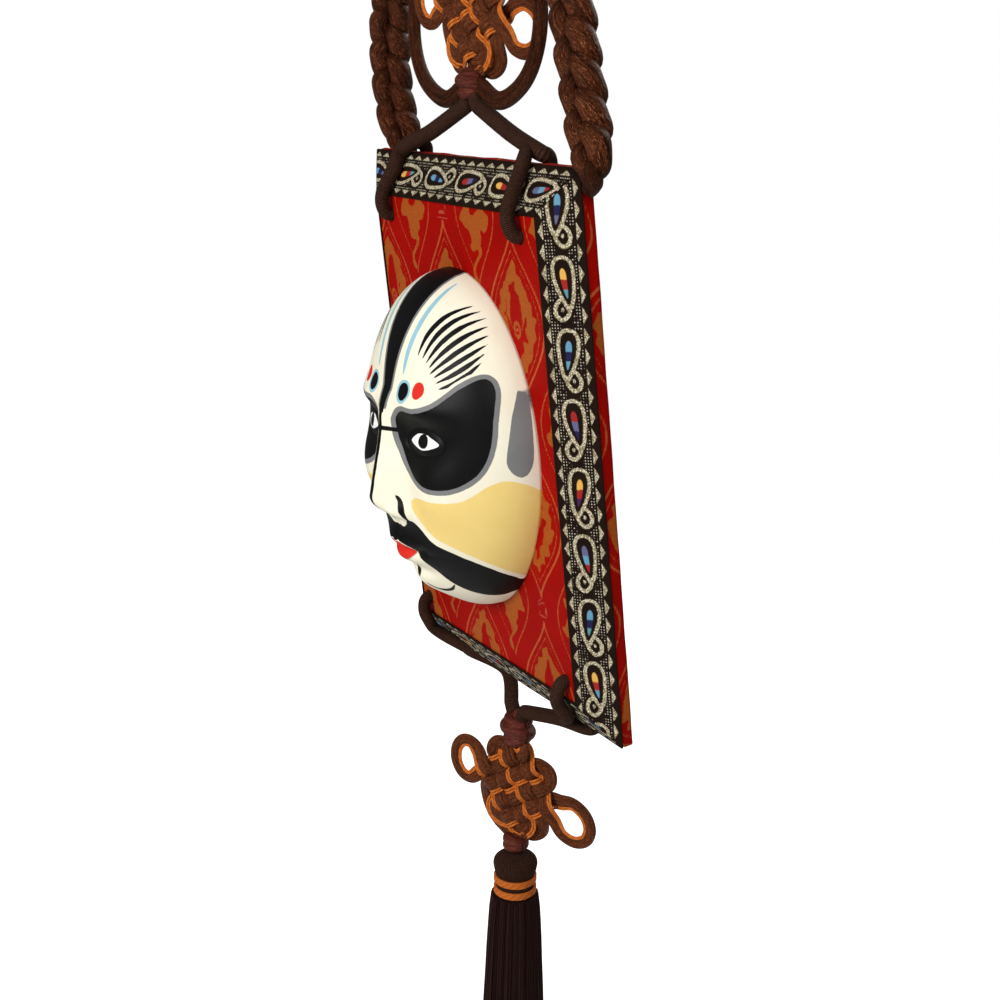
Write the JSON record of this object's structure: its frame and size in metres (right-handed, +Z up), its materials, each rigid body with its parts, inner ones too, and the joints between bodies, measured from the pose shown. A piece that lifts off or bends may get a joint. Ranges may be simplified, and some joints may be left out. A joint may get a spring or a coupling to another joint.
{
  "type": "opera mask wall hanging",
  "caption": "Painted opera mask on a padded brocade board with a woven ribbon border, hung by plaits and an endless knot, with a second knot and a tassel below.",
  "frame": {"origin": "the inside of the top of the hanging loop, where a nail or hook holds it", "axes": "+Z up along the plumb line that the hanging hangs on, -Y the way the mask faces, +X to the viewer's right"},
  "size_m": [0.2269, 0.1193, 0.7971],
  "materials": {
    "red_brocade": "woven satin brocade",
    "woven_ribbon": "jacquard weave",
    "painted_plaster": "satin paint",
    "matte_cord": "matte thread wrapping",
    "brown_satin_cord": "satin",
    "red_brown_satin": "satin",
    "orange_thread": "satin",
    "dark_tassel_thread": "silky thread"
  },
  "bodies": {
    "root": {"brocade_board": "red_brocade", "ribbon_top": "woven_ribbon", "ribbon_right": "woven_ribbon", "ribbon_bottom": "woven_ribbon", "ribbon_left": "woven_ribbon", "mask": "painted_plaster", "hanging_loop": "brown_satin_cord", "joining_knot": "red_brown_satin", "stem_cord": "brown_satin_cord", "crown_collar": "red_brown_satin", "side_loop_left": "brown_satin_cord", "side_loop_right": "brown_satin_cord", "upper_knot_left_strand": "brown_satin_cord", "upper_knot_right_strand": "brown_satin_cord", "upper_collar": "red_brown_satin", "top_cord_left": "matte_cord", "top_cord_right": "matte_cord", "side_plait_left": "brown_satin_cord", "side_plait_right": "brown_satin_cord", "bottom_cord_left": "matte_cord", "bottom_cord_right": "matte_cord", "lower_collar": "red_brown_satin", "lower_knot_left_strand": "brown_satin_cord", "lower_knot_right_strand": "brown_satin_cord", "tassel_knot": "red_brown_satin", "tassel_head": "matte_cord", "tassel_band_upper": "orange_thread", "tassel_band_lower": "orange_thread", "tassel_skirt": "dark_tassel_thread"}
  },
  "joints": []
}
